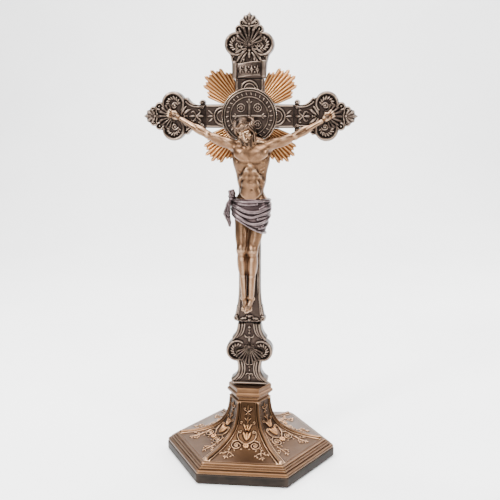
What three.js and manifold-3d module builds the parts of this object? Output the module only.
// A standing processional cross that lifts out of a hexagonal stand.
// Millimetres, +Z up. The origin is the centre of the stand's underside, and the figure faces -Y.
import * as THREE from "three";
import { mergeVertices } from "three/addons/utils/BufferGeometryUtils.js";
import Module from "manifold-3d";

// ---- Driving dimensions ----------------------------------------------------------------------

const GAP = 0.3; // air left between pieces that touch
const TOTAL_HEIGHT = 508;
const ARM_SPAN = 237; // tip to tip
const STAND_CORNERS = 200; // across the hexagon's corners
const STAND_HEIGHT = 88;
const CROSSING_Z = 397; // height of the arms' centre line

const CORE_THICK = 10;
const TERMINAL_THICK = 12;
const ARM_HALF_WIDTH = 13;
const UPPER_SHAFT_HALF_WIDTH = 15.7;
const LOWER_SHAFT_HALF_WIDTH = 12.6;
const SHAFT_TOP_Z = 437.7;
const SHAFT_FOOT_Z = 178.3;

const TIP_TO_EARS = 34; // from a terminal's tip to the centre line of its round ears
const EAR_RADIUS = 13.2;
const EAR_OFFSET = 13.8; // from the terminal's axis to an ear's centre
const TERMINAL_ROOT = 69.5; // a side terminal's length, from its tip to the core
const TOP_TERMINAL_ROOT = TOTAL_HEIGHT - SHAFT_TOP_Z - GAP;

const MEDAL_RADIUS = 29;
const BEZEL_RADIUS = 30.4;
const MEDAL_THICK = 3.2;
const RAY_LENGTH = 67;
const RAYS_PER_FAN = 12;

const TONGUE_HALF_WIDTH = 12.6;
const TONGUE_THICK = 10;
const TONGUE_FOOT_Z = 32;
const SLOT_WIDTH = 27;
const SLOT_DEPTH = 11.6;

const STAND_R = STAND_CORNERS / 2;
const FELT_THICK = 1.5;
const FELT_TOP = FELT_THICK + GAP;
const PLATE_TOP = 4.5;
const PLINTH_TOP_Z = 11.8;
const MOULDING_TOP_Z = 21.7;
const NECK_TOP_Z = 70.5;
const COLLAR_TOP_Z = 77.5;
const RING_INNER_R = 80;
const SCREW_RING_R = 58;
const SCREW_ANGLES = [30, 150, 270].map(THREE.MathUtils.degToRad);

const HALF_SPAN = ARM_SPAN / 2;
const CORE_HALF_ARM = HALF_SPAN - TERMINAL_ROOT - GAP;
const CORE_FRONT = -CORE_THICK / 2;
const TERMINAL_FRONT = -7;

// The figure's points are [x, y, z], and its nails and screws run along Y.
const FIGURE_X = 4;
const FIGURE_SCREWS = [
  { name: "figure_screw_upper", z: 350, depth: -17 },
  { name: "figure_screw_lower", z: 292, depth: -17 },
];
const HANDS = [
  {
    side: -1,
    shoulder: [-14.5, -20, 363.5],
    elbow: [-43.5, -21, 376],
    wrist: [-74.5, -13.5, 393],
    nail: [-82, 397.5], // x and z
  },
  {
    side: 1,
    shoulder: [22.5, -20, 363.5],
    elbow: [52, -21, 375.5],
    wrist: [80, -13.5, 391],
    nail: [85.5, 396.5],
  },
];
const FEET_NAIL = [0.5, 186]; // x and z
const HEAD_CENTRE = [-2, -31, 383];
const HEAD_LEAN = [32, -13, -6]; // degrees forward, aside and about the line of sight
const CLOTH_TOP = 306.2;

const SCREW_SIDES = 10;
const ROUND_SIDES = 24;
const LIMB_SIDES = 10;

// ---- Materials -------------------------------------------------------------------------------

const metal = (color, roughness) => new THREE.MeshStandardMaterial({ color, roughness, metalness: 1 });
const darkBronze = metal(0x5b4a3f, 0.42);
const warmBronze = metal(0x8a6a4e, 0.36);
const figureBronze = metal(0xa07c5c, 0.3);
const goldBronze = metal(0xc98f5c, 0.34);
const pewter = metal(0x6f6470, 0.4);
const steel = metal(0x8f9194, 0.35);
const castIron = new THREE.MeshStandardMaterial({ color: 0x3a3a3c, roughness: 0.8, metalness: 0.6 });
const blackBoard = new THREE.MeshStandardMaterial({ color: 0x1c1a19, roughness: 0.7, metalness: 0 });
const felt = new THREE.MeshStandardMaterial({ color: 0x24201e, roughness: 1, metalness: 0 });

// ---- Solids and booleans ---------------------------------------------------------------------

const wasm = await Module();
wasm.setup();

function toSolid(geometry) {
  const bare = geometry.clone();
  bare.deleteAttribute("normal");
  bare.deleteAttribute("uv");
  const merged = mergeVertices(bare, 1e-3);
  return new wasm.Manifold(
    new wasm.Mesh({
      numProp: 3,
      vertProperties: merged.attributes.position.array,
      triVerts: new Uint32Array(merged.index.array),
    }),
  );
}

function toGeometry(solid) {
  const { vertProperties, triVerts } = solid.getMesh();
  const geometry = new THREE.BufferGeometry();
  geometry.setAttribute("position", new THREE.BufferAttribute(Float32Array.from(vertProperties), 3));
  geometry.setIndex(new THREE.BufferAttribute(Uint32Array.from(triVerts), 1));
  geometry.computeVertexNormals();
  return geometry;
}

const union = (...geometries) => toGeometry(geometries.map(toSolid).reduce((all, next) => all.add(next)));

// Cuts the tools out of a piece, and keeps the largest body that is left.
function cut(geometry, ...tools) {
  const left = tools.map(toSolid).reduce((rest, tool) => rest.subtract(tool), toSolid(geometry));
  return toGeometry(left.decompose().reduce((best, body) => (body.volume() > best.volume() ? body : best)));
}

const root = new THREE.Group();
const stand = new THREE.Group();
const cross = new THREE.Group();
root.add(stand, cross);

function addPiece(parent, name, geometry, material) {
  const mesh = new THREE.Mesh(geometry, material);
  mesh.name = name;
  parent.add(mesh);
  return mesh;
}

// ---- Shape helpers ---------------------------------------------------------------------------

const points = (pairs) => pairs.map(([x, y]) => new THREE.Vector2(x, y));

// A ring or block with six flat sides and two corners on the X axis, from a closed profile of
// [corner radius, z].
function hexBody(profile) {
  const closed = points([...profile, profile[0]]);
  return new THREE.LatheGeometry(closed, 6, Math.PI / 6).rotateX(Math.PI / 2);
}

// A flat piece whose outline lies in the XZ plane, from y = front to y = back.
function plate(shape, front, back) {
  const options = { depth: back - front, bevelEnabled: false, curveSegments: 10 };
  return new THREE.ExtrudeGeometry(shape, options).rotateX(Math.PI / 2).translate(0, back, 0);
}

// A round plate in the XZ plane.
function disc(x, z, radius, front, back, sides = ROUND_SIDES) {
  return new THREE.CylinderGeometry(radius, radius, back - front, sides).translate(x, (front + back) / 2, z);
}

// A round pin, or the hole for one, along Y.
const pin = (x, z, radius, front, back) => disc(x, z, radius, front, back, SCREW_SIDES);

function box(low, high) {
  const size = low.map((value, axis) => high[axis] - value);
  const middle = low.map((value, axis) => (value + high[axis]) / 2);
  return new THREE.BoxGeometry(...size).translate(...middle);
}

// The right half of an outline, drawn from the axis up to the axis, closed by its mirror image.
function mirroredShape(half) {
  const right = half.getPoints(8);
  const left = right.map((p) => new THREE.Vector2(-p.x, p.y)).reverse();
  return new THREE.Shape([...right, ...left.slice(1, -1)]);
}

// A round limb from one point to another, whose radius changes along it. radii holds pairs of
// [share of length, radius].
function limb(from, to, radii, sides = LIMB_SIDES) {
  const start = new THREE.Vector3(...from);
  const axis = new THREE.Vector3(...to).sub(start);
  const length = axis.length();
  const profile = [[0, 0], ...radii.map(([share, radius]) => [radius, share * length]), [0, length]];
  const turn = new THREE.Quaternion().setFromUnitVectors(new THREE.Vector3(0, 1, 0), axis.normalize());
  const geometry = new THREE.LatheGeometry(points(profile), sides);
  return geometry.applyQuaternion(turn).translate(start.x, start.y, start.z);
}

function ball(centre, radii, sides = 18) {
  return new THREE.SphereGeometry(1, sides, Math.round(sides * 0.7)).scale(...radii).translate(...centre);
}

const grown = (geometry, centre, factor) =>
  geometry
    .clone()
    .translate(...centre.map((value) => -value))
    .scale(factor, factor, factor)
    .translate(...centre);

// ---- Stand -----------------------------------------------------------------------------------

function buildFelt() {
  const radius = STAND_R - 2;
  addPiece(stand, "felt_pad", hexBody([[0, 0], [radius, 0], [radius, FELT_THICK], [0, FELT_THICK]]), felt);
}

function buildPlinth() {
  const inner = 93;
  const chamfer = 0.8;
  const profile = [
    [inner, FELT_TOP],
    [STAND_R, FELT_TOP],
    [STAND_R, PLINTH_TOP_Z - chamfer],
    [STAND_R - chamfer, PLINTH_TOP_Z],
    [inner, PLINTH_TOP_Z],
  ];
  addPiece(stand, "plinth", hexBody(profile), darkBronze);
}

// An ogee, three narrow steps and a cove, from the plinth up to the flare.
function buildSteppedMoulding() {
  const outline = new THREE.Path();
  outline.moveTo(STAND_R - 0.6, PLINTH_TOP_Z + GAP);
  outline.lineTo(STAND_R - 0.6, 13);
  outline.quadraticCurveTo(STAND_R - 1.4, 14.6, 96.4, 15);
  for (const [radius, z] of [[95.8, 16.4], [93.8, 17.7], [91.8, 19]]) {
    outline.lineTo(radius, z - 0.9);
    outline.lineTo(radius, z);
    outline.lineTo(radius - 1.4, z + 0.3);
  }
  outline.quadraticCurveTo(89.6, 21, 87.2, MOULDING_TOP_Z);
  const profile = outline.getPoints(4).map((p) => [p.x, p.y]);
  profile.push([RING_INNER_R, MOULDING_TOP_Z], [RING_INNER_R, PLINTH_TOP_Z + GAP]);
  addPiece(stand, "stepped_moulding", hexBody(profile), warmBronze);
}

// The tent-shaped body: a concave sweep from the moulding up to the neck, hollow underneath.
function buildFlare() {
  const foot = MOULDING_TOP_Z + GAP;
  const outer = new THREE.CubicBezierCurve(
    new THREE.Vector2(86.4, foot),
    new THREE.Vector2(42, 27),
    new THREE.Vector2(24, 37.5),
    new THREE.Vector2(23.4, NECK_TOP_Z),
  );
  const inner = new THREE.CubicBezierCurve(
    new THREE.Vector2(20.2, NECK_TOP_Z),
    new THREE.Vector2(20.2, 35.5),
    new THREE.Vector2(40, 22.8),
    new THREE.Vector2(78, foot),
  );
  const profile = [...outer.getPoints(14), ...inner.getPoints(10)].map((p) => [p.x, p.y]);
  addPiece(stand, "flared_body", hexBody(profile), warmBronze);
}

function buildCollar() {
  const inner = 20.2;
  const foot = NECK_TOP_Z + GAP;
  const profile = [
    [inner, foot],
    [25, foot],
    [25.2, foot + 1.2],
    [23.4, foot + 1.9],
    [23.2, foot + 4.2],
    [24.8, foot + 5],
    [25.6, COLLAR_TOP_Z],
    [inner, COLLAR_TOP_Z],
  ];
  addPiece(stand, "neck_collar", hexBody(profile), warmBronze);
}

const slotCutter = (low, high) =>
  box([-SLOT_WIDTH / 2, -SLOT_DEPTH / 2, low], [SLOT_WIDTH / 2, SLOT_DEPTH / 2, high]);

function buildCap() {
  const foot = COLLAR_TOP_Z + GAP;
  const profile = [
    [0, foot],
    [26, foot],
    [27, foot + 1.2],
    [26.6, foot + 4],
    [24.8, foot + 5.2],
    [25.2, foot + 6.4],
    [25.2, STAND_HEIGHT - 1.8],
    [24.2, STAND_HEIGHT],
    [0, STAND_HEIGHT],
  ];
  addPiece(stand, "socket_cap", cut(hexBody(profile), slotCutter(foot - 1, STAND_HEIGHT + 1)), warmBronze);
}

// The blind rectangular sleeve under the cap that holds the tongue upright.
function buildSleeve() {
  const wall = 1.6;
  const foot = 28;
  const outer = box(
    [-SLOT_WIDTH / 2 - wall, -SLOT_DEPTH / 2 - wall, foot],
    [SLOT_WIDTH / 2 + wall, SLOT_DEPTH / 2 + wall, COLLAR_TOP_Z],
  );
  addPiece(stand, "socket_sleeve", cut(outer, slotCutter(foot + 2.5, COLLAR_TOP_Z + 1)), steel);
}

const aroundRing = (angle) => [SCREW_RING_R * Math.cos(angle), SCREW_RING_R * Math.sin(angle)];
const screwSpots = SCREW_ANGLES.map(aroundRing);
const uprightPin = (x, y, radius, low, high) =>
  new THREE.CylinderGeometry(radius, radius, high - low, SCREW_SIDES)
    .rotateX(Math.PI / 2)
    .translate(x, y, (low + high) / 2);

function buildBallastAndPlate() {
  const shankRadius = 1.5;
  const headRadius = 3.1;
  const headTop = FELT_TOP + 1.6;
  const holeRoom = 0.4;
  const ballastFoot = PLATE_TOP + GAP;
  const shankTop = 14;
  const ballast = hexBody([[0, ballastFoot], [72, ballastFoot], [72, 16.5], [70, 18.5], [0, 18.5]]);
  const cover = hexBody([[0, FELT_TOP], [92.6, FELT_TOP], [92.6, PLATE_TOP], [0, PLATE_TOP]]);
  const shankHoles = screwSpots.map(([x, y]) => uprightPin(x, y, shankRadius + holeRoom, 0, shankTop + 1));
  const headHoles = screwSpots.map(([x, y]) => uprightPin(x, y, headRadius + holeRoom, 0, headTop + GAP));
  addPiece(stand, "ballast_block", cut(ballast, ...shankHoles), castIron);
  addPiece(stand, "bottom_plate", cut(cover, ...shankHoles, ...headHoles), blackBoard);
  screwSpots.forEach(([x, y], index) => {
    const head = uprightPin(x, y, headRadius, FELT_TOP + 0.1, headTop);
    const shank = uprightPin(x, y, shankRadius, headTop - 0.5, shankTop);
    addPiece(stand, `plate_screw_${index + 1}`, union(head, shank), steel);
  });
}

// ---- Cross body ------------------------------------------------------------------------------

function buildCore() {
  const shape = new THREE.Shape();
  const armTop = CROSSING_Z + ARM_HALF_WIDTH;
  const armFoot = CROSSING_Z - ARM_HALF_WIDTH;
  shape.moveTo(-LOWER_SHAFT_HALF_WIDTH - 0.8, SHAFT_FOOT_Z);
  shape.lineTo(LOWER_SHAFT_HALF_WIDTH + 0.8, SHAFT_FOOT_Z);
  shape.lineTo(LOWER_SHAFT_HALF_WIDTH, 240);
  shape.lineTo(LOWER_SHAFT_HALF_WIDTH, armFoot);
  shape.lineTo(CORE_HALF_ARM, armFoot);
  shape.lineTo(CORE_HALF_ARM, armTop);
  shape.lineTo(UPPER_SHAFT_HALF_WIDTH, armTop);
  shape.lineTo(UPPER_SHAFT_HALF_WIDTH, SHAFT_TOP_Z);
  shape.lineTo(-UPPER_SHAFT_HALF_WIDTH, SHAFT_TOP_Z);
  shape.lineTo(-UPPER_SHAFT_HALF_WIDTH, armTop);
  shape.lineTo(-CORE_HALF_ARM, armTop);
  shape.lineTo(-CORE_HALF_ARM, armFoot);
  shape.lineTo(-LOWER_SHAFT_HALF_WIDTH, armFoot);
  shape.lineTo(-LOWER_SHAFT_HALF_WIDTH, 240);
  const holes = FIGURE_SCREWS.map(({ z }) => pin(FIGURE_X, z, 2.1, -10, 10));
  addPiece(cross, "cross_core", cut(plate(shape, CORE_FRONT, -CORE_FRONT), ...holes), darkBronze);
}

// A terminal pointing up +Z, its ears' centre line at z = 0: round ears, two lobes a side, a palmette tip.
function terminalHead(front, back) {
  const palmette = new THREE.Path();
  palmette.moveTo(0, 12);
  palmette.lineTo(9.2, 21);
  palmette.quadraticCurveTo(8.4, 28, 0, TIP_TO_EARS);
  const heart = disc(0, 2, 18.5, front, back);
  const lobes = [-1, 1].flatMap((side) => [
    disc(side * EAR_OFFSET, 0, EAR_RADIUS, front, back),
    disc(side * 10.6, 15.2, 5.4, front, back, 18),
    disc(side * 6.6, 22.2, 4.7, front, back, 18),
  ]);
  return union(heart, ...lobes, plate(mirroredShape(palmette), front, back));
}

// The arm behind a side terminal: a waist between two concave scrolls, ending in a curl on each edge.
function terminalArm(front, back) {
  const rootZ = TIP_TO_EARS - TERMINAL_ROOT;
  const arm = new THREE.Path();
  arm.moveTo(0, rootZ);
  arm.lineTo(ARM_HALF_WIDTH, rootZ);
  arm.lineTo(ARM_HALF_WIDTH, rootZ + 4);
  arm.quadraticCurveTo(11.4, rootZ + 10, 20.6, -15.5);
  arm.lineTo(18, -4);
  arm.lineTo(0, 4);
  const curls = [-1, 1].map((side) => disc(side * 15, rootZ + 3.2, 3.1, front, back, 16));
  return union(plate(mirroredShape(arm), front, back), ...curls);
}

const nailHole = (x, z) => pin(x, z, 1.5, -40, 0);

function buildTerminals() {
  const back = TERMINAL_THICK + TERMINAL_FRONT;
  const topRoot = TIP_TO_EARS - TOP_TERMINAL_ROOT;
  const neck = new THREE.Path();
  neck.moveTo(0, topRoot);
  neck.lineTo(17.2, topRoot);
  neck.lineTo(19.2, -19);
  neck.lineTo(22, -8);
  neck.lineTo(0, 2);
  const top = union(terminalHead(TERMINAL_FRONT, back), plate(mirroredShape(neck), TERMINAL_FRONT, back));
  top.translate(0, 0, TOTAL_HEIGHT - TIP_TO_EARS);
  addPiece(cross, "terminal_top", top, darkBronze);
  for (const { side, nail } of HANDS) {
    const whole = union(terminalHead(TERMINAL_FRONT, back), terminalArm(TERMINAL_FRONT, back));
    whole.rotateY((side * Math.PI) / 2).translate(side * (HALF_SPAN - TIP_TO_EARS), 0, CROSSING_Z);
    addPiece(cross, side < 0 ? "terminal_left" : "terminal_right", cut(whole, nailHole(...nail)), darkBronze);
  }
}

// The scrolled collar where the shaft ends, under the figure's feet.
function buildShaftCollar() {
  const foot = 162.8;
  const half = new THREE.Path();
  half.moveTo(0, foot);
  half.lineTo(14.2, foot);
  half.lineTo(16, foot + 4);
  half.quadraticCurveTo(14, foot + 9, 13.4, SHAFT_FOOT_Z - GAP);
  half.lineTo(0, SHAFT_FOOT_Z - GAP);
  const curls = [-1, 1].map((side) => disc(side * 14.7, foot + 4.4, 3.9, -6.2, 6.2, 16));
  addPiece(cross, "shaft_collar", union(plate(mirroredShape(half), -6.2, 6.2), ...curls), darkBronze);
}

// The lower cartouche: a bell, two round ears that hold the shell, and a narrow waist.
function buildLowerCartouche() {
  const foot = 104.5;
  const top = 162.5;
  const earZ = 129.3;
  const bell = new THREE.Path();
  bell.moveTo(0, earZ);
  bell.lineTo(19.5, 141);
  bell.lineTo(20.4, 146.8);
  bell.quadraticCurveTo(14.2, 152, 13.2, top);
  bell.lineTo(0, top);
  const waist = new THREE.Path();
  waist.moveTo(0, foot);
  waist.lineTo(14.2, foot);
  waist.quadraticCurveTo(12.8, 110, 14.6, 117);
  waist.lineTo(0, 126);
  const ears = [-1, 1].map((side) => disc(side * (EAR_OFFSET + 0.4), earZ, EAR_RADIUS, -6.5, 6.5));
  const body = [bell, waist].map((half) => plate(mirroredShape(half), -6.5, 6.5));
  addPiece(cross, "lower_cartouche", union(...body, disc(0, earZ, 15, -6.5, 6.5), ...ears), darkBronze);
}

// The spreading foot that rests on the stand's cap.
function buildFootMoulding() {
  const foot = STAND_HEIGHT + 0.4;
  const half = new THREE.Path();
  half.moveTo(0, foot);
  half.lineTo(18.6, foot);
  half.lineTo(21.6, foot + 3.6);
  half.lineTo(21.8, foot + 7);
  half.quadraticCurveTo(14.8, foot + 10, 14.4, 104.2);
  half.lineTo(0, 104.2);
  addPiece(cross, "foot_moulding", plate(mirroredShape(half), -8, 8), darkBronze);
}

function buildTongue() {
  const half = new THREE.Path();
  half.moveTo(0, TONGUE_FOOT_Z);
  half.lineTo(TONGUE_HALF_WIDTH - 3.4, TONGUE_FOOT_Z);
  half.quadraticCurveTo(TONGUE_HALF_WIDTH - 0.4, TONGUE_FOOT_Z + 7, TONGUE_HALF_WIDTH, TONGUE_FOOT_Z + 13);
  half.lineTo(TONGUE_HALF_WIDTH, STAND_HEIGHT + 0.1);
  half.lineTo(0, STAND_HEIGHT + 0.1);
  addPiece(cross, "tongue", plate(mirroredShape(half), -TONGUE_THICK / 2, TONGUE_THICK / 2), darkBronze);
}

// ---- Ornaments on the cross ------------------------------------------------------------------

// A quarter of the sunburst: pointed rays spread from a corner of the crossing, longest on the diagonal.
function rayFan() {
  const shape = new THREE.Shape();
  const cornerX = UPPER_SHAFT_HALF_WIDTH + GAP;
  const cornerZ = ARM_HALF_WIDTH + GAP;
  const first = 24;
  const step = 42 / RAYS_PER_FAN;
  const at = (radius, degrees) => {
    const angle = THREE.MathUtils.degToRad(degrees);
    return [radius * Math.cos(angle), radius * Math.sin(angle)];
  };
  shape.moveTo(cornerX, cornerZ);
  shape.lineTo(cornerZ / Math.tan(THREE.MathUtils.degToRad(first - 1)), cornerZ);
  for (let ray = 0; ray < RAYS_PER_FAN; ray += 1) {
    const middle = first + (ray + 0.5) * step;
    const fromDiagonal = Math.abs(middle - 45);
    const reach = RAY_LENGTH - 0.035 * fromDiagonal ** 2 - (ray % 2) * 2.5;
    shape.lineTo(...at(reach - 2.2, middle - step * 0.42));
    shape.lineTo(...at(reach, middle));
    shape.lineTo(...at(reach - 2.2, middle + step * 0.42));
  }
  shape.lineTo(cornerX, cornerX * Math.tan(THREE.MathUtils.degToRad(67)));
  return plate(shape, -1.6, 1.6);
}

function buildRays() {
  for (const [name, acrossX, acrossZ] of [
    ["ray_fan_upper_right", 1, 1],
    ["ray_fan_upper_left", -1, 1],
    ["ray_fan_lower_left", -1, -1],
    ["ray_fan_lower_right", 1, -1],
  ]) {
    const fan = rayFan();
    if (acrossX < 0) fan.rotateZ(Math.PI);
    if (acrossZ < 0) fan.rotateX(Math.PI);
    fan.translate(0, 0, CROSSING_Z);
    addPiece(cross, name, fan, goldBronze);
  }
}

function buildMedal() {
  const back = CORE_FRONT - GAP;
  const front = back - MEDAL_THICK;
  addPiece(cross, "medal", disc(0, CROSSING_Z, MEDAL_RADIUS, front, back, 40), darkBronze);
  const ring = [
    [MEDAL_RADIUS + GAP, back],
    [BEZEL_RADIUS + 0.6, back],
    [BEZEL_RADIUS + 0.6, front],
    [BEZEL_RADIUS, front - 0.8],
    [MEDAL_RADIUS + GAP, front - 0.4],
  ];
  const bezel = new THREE.LatheGeometry(points([...ring, ring[0]]).reverse(), 40);
  addPiece(cross, "medal_bezel", bezel.translate(0, 0, CROSSING_Z), darkBronze);
}

// A blank ribbon scroll: bowed out in the middle, its two ends rolled back against the cross.
function buildTitulus() {
  const half = 19;
  const thick = 1.8;
  const back = TERMINAL_FRONT - GAP;
  const front = back - 5.2;
  const section = new THREE.Shape();
  section.moveTo(-half, back);
  section.lineTo(-half, back - 3);
  section.quadraticCurveTo(-half + 4, back - 3.4, -11, front + 1.4);
  section.quadraticCurveTo(0, front - 1.6, 11, front + 1.4);
  section.quadraticCurveTo(half - 4, back - 3.4, half, back - 3);
  section.lineTo(half, back);
  section.lineTo(half - thick, back);
  section.lineTo(half - 6, back - 2);
  section.quadraticCurveTo(0, front + thick - 0.6, -half + 6, back - 2);
  section.lineTo(-half + thick, back);
  const ribbon = new THREE.ExtrudeGeometry(section, { depth: 15, bevelEnabled: false, curveSegments: 8 });
  addPiece(cross, "titulus_scroll", ribbon.translate(0, 0, 439.5), darkBronze);
}

// A scallop shell on a terminal: a fan of rounded flutes around a small hub, opening towards +Z.
function shellGeometry(radius, flutes, front, back) {
  const shape = new THREE.Shape();
  const spread = THREE.MathUtils.degToRad(158);
  const step = spread / flutes;
  const first = Math.PI / 2 - spread / 2;
  shape.moveTo(0, -3);
  for (let flute = 0; flute < flutes; flute += 1) {
    const middle = first + (flute + 0.5) * step;
    const reach = radius * (0.74 + 0.26 * Math.sin(middle));
    for (const [share, offset] of [[0.94, -0.45], [1, -0.2], [1, 0.2], [0.94, 0.45]]) {
      const angle = middle + offset * step;
      shape.lineTo(reach * share * Math.cos(angle), reach * share * Math.sin(angle));
    }
  }
  return plate(shape, front, back);
}

function buildShells() {
  const back = TERMINAL_FRONT - GAP;
  const top = shellGeometry(20, 9, back - 3.4, back).translate(0, 0, 473);
  addPiece(cross, "shell_top", top, darkBronze);
  const low = shellGeometry(19.5, 9, 6.8, 10).rotateX(Math.PI).translate(0, 0, 134);
  addPiece(cross, "shell_lower", low, darkBronze);
  for (const { side, nail } of HANDS) {
    const shell = shellGeometry(17.5, 9, back - 2.3, back).rotateY((side * Math.PI) / 2);
    shell.translate(side * (HALF_SPAN - TIP_TO_EARS), 0, CROSSING_Z);
    addPiece(cross, side < 0 ? "shell_left" : "shell_right", cut(shell, nailHole(...nail)), darkBronze);
  }
}

// ---- Figure ----------------------------------------------------------------------------------

// A shape around the head's centre, leaned forward and to the figure's right with it.
function leaned(geometry) {
  const [forward, aside, twist] = HEAD_LEAN.map(THREE.MathUtils.degToRad);
  return geometry.rotateY(aside).rotateX(forward).rotateZ(twist).translate(...HEAD_CENTRE);
}

function headGeometry(extra) {
  return leaned(ball([0, 0.8, -1.8], [10.4 + extra, 12.3 + extra, 15.8 + extra]));
}

function flattened(from, to, radii, depthShare, y) {
  return limb(from, to, radii, 16).scale(1, depthShare, 1).translate(0, y, 0);
}

function torsoGeometry(extra) {
  const foot = [FIGURE_X, 0, 306.5 - extra];
  const top = [FIGURE_X - 1, 0, 376];
  const waist = [[0, 18], [0.18, 17], [0.36, 16.6]];
  const chest = [[0.55, 19.5], [0.74, 21.2], [0.87, 19], [0.93, 10], [1, 6.5]];
  const wide = [...waist, ...chest].map(([share, radius]) => [share, radius + extra]);
  return flattened(foot, top, wide, 0.62, -21.5);
}

function buildTorso() {
  const screwHole = pin(FIGURE_X, FIGURE_SCREWS[0].z, 1.9, FIGURE_SCREWS[0].depth - 1, 0);
  addPiece(cross, "figure_torso", cut(torsoGeometry(0), headGeometry(2 * GAP), screwHole), figureBronze);
}

function buildHead() {
  addPiece(cross, "figure_head", headGeometry(0), figureBronze);
  const crown = new THREE.TorusGeometry(12.2, 1.3, 6, 24).scale(0.88, 1, 1).translate(0, 1.2, 6.4);
  addPiece(cross, "crown_of_thorns", leaned(crown), darkBronze);
}

function buildArms() {
  for (const { side, shoulder, elbow, wrist, nail } of HANDS) {
    const upper = limb(shoulder, elbow, [[0, 6.5], [0.2, 6.8], [0.6, 5.6], [1, 4.4]]);
    const joint = ball(elbow, [4.4, 4.4, 4.4], LIMB_SIDES);
    const fore = limb(elbow, wrist, [[0, 4.4], [0.25, 4.9], [0.7, 3.6], [1, 2.6]]);
    const heel = limb(wrist, [nail[0], -12.4, nail[1]], [[0, 2.6], [1, 2.4]]);
    const palm = ball([nail[0], -12.4, nail[1] + 0.6], [7.4, 2.2, 5], LIMB_SIDES);
    const body = grown(torsoGeometry(0), [FIGURE_X, -21.5, 345], 1.035);
    const arm = cut(union(upper, joint, fore, heel, palm), body, nailHole(...nail));
    addPiece(cross, side < 0 ? "figure_arm_left" : "figure_arm_right", arm, figureBronze);
  }
}

// The hips inside the cloth, cut off below by a slope that rises to the figure's right hip.
function loinclothGeometry(extra) {
  const from = [FIGURE_X, 0, 262 - extra];
  const to = [FIGURE_X, 0, CLOTH_TOP];
  const radii = [[0, 19 + extra], [0.4, 20.5 + extra], [0.8, 20.5 + extra], [1, 19 + extra]];
  const hips = flattened(from, to, radii, 0.68, -21.8);
  const slope = THREE.MathUtils.degToRad(28);
  const below = new THREE.BoxGeometry(120, 80, 40).translate(0, -20, -20).rotateY(slope);
  return cut(hips, below.translate(FIGURE_X, 0, 282 - extra));
}

function buildLoincloth() {
  const screwHole = pin(FIGURE_X, FIGURE_SCREWS[1].z, 1.9, FIGURE_SCREWS[1].depth - 1, 0);
  addPiece(cross, "loincloth", cut(loinclothGeometry(0), screwHole), pewter);
  const knot = ball([-18.5, -22, 314], [4, 4, 4.4], LIMB_SIDES);
  const tailTop = limb([-19, -22, 313], [-23, -20, 290], [[0, 2.6], [0.5, 3.4], [1, 3.8]]);
  const tailEnd = limb([-23, -20, 291], [-21, -20, 276], [[0, 3.8], [0.5, 3], [1, 1.6]]);
  const hips = loinclothGeometry(0.4);
  const chest = torsoGeometry(0.4);
  addPiece(cross, "loincloth_knot", cut(union(knot, tailTop, tailEnd), hips, chest), pewter);
}

function buildLegs() {
  const legs = [
    { hip: [-6, -22, 292], knee: [-5.4, -34, 253.5], ankle: [-3, -15.5, 194], toe: [-1.8, -19.5, 178.5] },
    { hip: [13.5, -22, 292], knee: [7.4, -34, 253.5], ankle: [5, -17, 194], toe: [3, -21, 177.8] },
  ];
  const pieces = legs.flatMap(({ hip, knee, ankle, toe }) => [
    limb(hip, knee, [[0, 8.6], [0.3, 9], [0.7, 7], [1, 5.6]]),
    ball(knee, [5.6, 5.6, 5.8], LIMB_SIDES),
    limb(knee, ankle, [[0, 5.4], [0.3, 5.8], [0.7, 4], [1, 3]]),
    ball(ankle, [3.6, 4, 3.8], LIMB_SIDES),
    limb(ankle, toe, [[0, 3.4], [0.6, 3.8], [1, 2.6]]),
  ]);
  const holes = [loinclothGeometry(0.4), nailHole(...FEET_NAIL)];
  addPiece(cross, "figure_legs", cut(union(...pieces), ...holes), figureBronze);
}

// A nail along Y, with a domed head in front.
function nailGeometry([x, z], front, back) {
  const shank = pin(x, z, 1.1, front, back);
  return union(shank, ball([x, front, z], [2.5, 1.3, 2.5], SCREW_SIDES));
}

function buildNails() {
  addPiece(cross, "nail_left_hand", nailGeometry(HANDS[0].nail, -16.4, -1.5), steel);
  addPiece(cross, "nail_right_hand", nailGeometry(HANDS[1].nail, -16.4, -1.5), steel);
  addPiece(cross, "nail_feet", nailGeometry(FEET_NAIL, -26, -5.6), steel);
}

function buildFigureScrews() {
  for (const { name, z, depth } of FIGURE_SCREWS) {
    const shank = pin(FIGURE_X, z, 1.5, depth, 5.6);
    const head = pin(FIGURE_X, z, 3.4, 5.3, 7);
    addPiece(cross, name, union(shank, head), steel);
  }
}

// ---- Assembly --------------------------------------------------------------------------------

buildFelt();
buildPlinth();
buildSteppedMoulding();
buildFlare();
buildCollar();
buildCap();
buildSleeve();
buildBallastAndPlate();
buildCore();
buildTerminals();
buildShaftCollar();
buildLowerCartouche();
buildFootMoulding();
buildTongue();
buildRays();
buildMedal();
buildTitulus();
buildShells();
buildTorso();
buildHead();
buildArms();
buildLoincloth();
buildLegs();
buildNails();
buildFigureScrews();

export default root;
